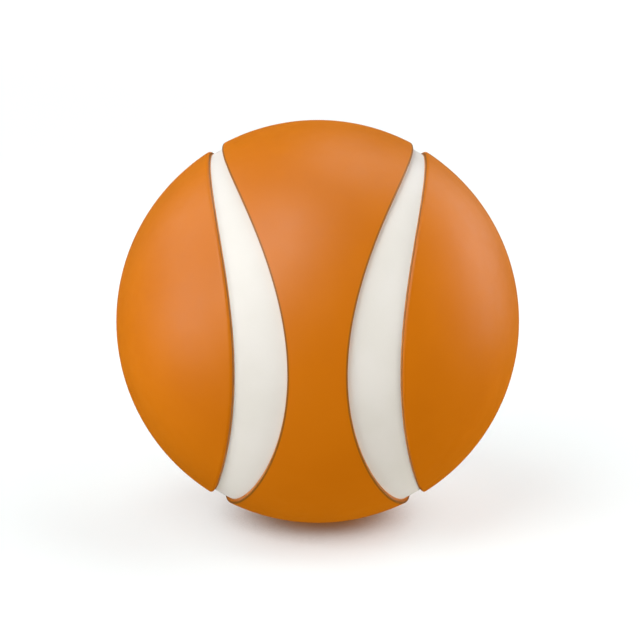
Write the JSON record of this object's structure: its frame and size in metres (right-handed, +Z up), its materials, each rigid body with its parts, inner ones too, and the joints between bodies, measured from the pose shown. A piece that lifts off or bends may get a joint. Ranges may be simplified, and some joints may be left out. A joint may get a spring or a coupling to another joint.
{
  "type": "table tennis ball",
  "caption": "Hollow two-colour ball with a white core, two orange cap panels and an orange hourglass band around its middle.",
  "frame": {"origin": "centre of the ball", "axes": "+Z up, -Y the front, where the centre band is narrowest; X along the common axis of the two caps, with the left cap on -X"},
  "size_m": [0.04, 0.04, 0.04],
  "materials": {
    "orange_panel": "satin",
    "white_core": "matte",
    "adhesive": "satin",
    "cement": "satin"
  },
  "bodies": {
    "root": {"core_shell_left": "white_core", "core_shell_right": "white_core", "seam_cement": "cement", "left_cap": "orange_panel", "right_cap": "orange_panel", "centre_band": "orange_panel", "left_cap_adhesive": "adhesive", "right_cap_adhesive": "adhesive", "centre_band_adhesive": "adhesive"}
  },
  "joints": []
}
